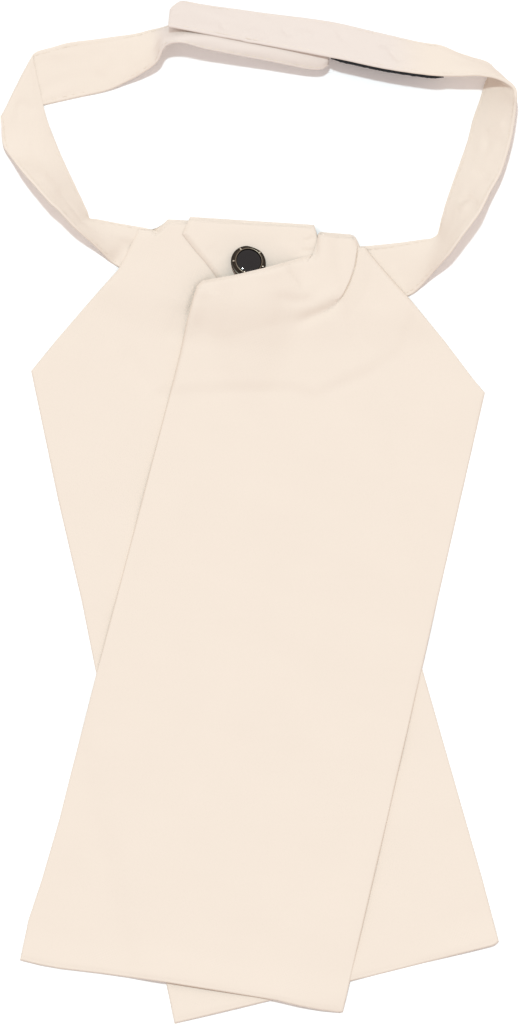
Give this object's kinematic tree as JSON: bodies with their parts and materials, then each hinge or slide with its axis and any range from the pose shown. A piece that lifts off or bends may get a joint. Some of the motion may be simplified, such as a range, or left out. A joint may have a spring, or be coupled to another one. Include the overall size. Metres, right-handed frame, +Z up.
{
  "type": "cravat",
  "caption": "Ready-tied cotton cravat lying flat: wide crossed blades under a wrapped knot with a round stone tack, on an open neck band with a hook-tape closure.",
  "frame": {"origin": "on the surface the cravat lies on, under the middle of its bounding box", "axes": "+X to the viewer's right, +Y from the hems to the neck band's closure, +Z up from the surface"},
  "size_m": [0.1861, 0.3679, 0.0162],
  "materials": {
    "cloth": "cream cotton, plain weave, matt",
    "hook_tape": "black woven hook tape, matt",
    "tack_metal": "dark polished metal",
    "tack_stone": "polished black stone"
  },
  "bodies": {
    "root": {"neck_band": "cloth", "hook_tape": "hook_tape", "under_blade": "cloth", "top_blade": "cloth", "knot_wrap": "cloth", "tack_setting": "tack_metal", "tack_stone": "tack_stone"}
  },
  "joints": []
}
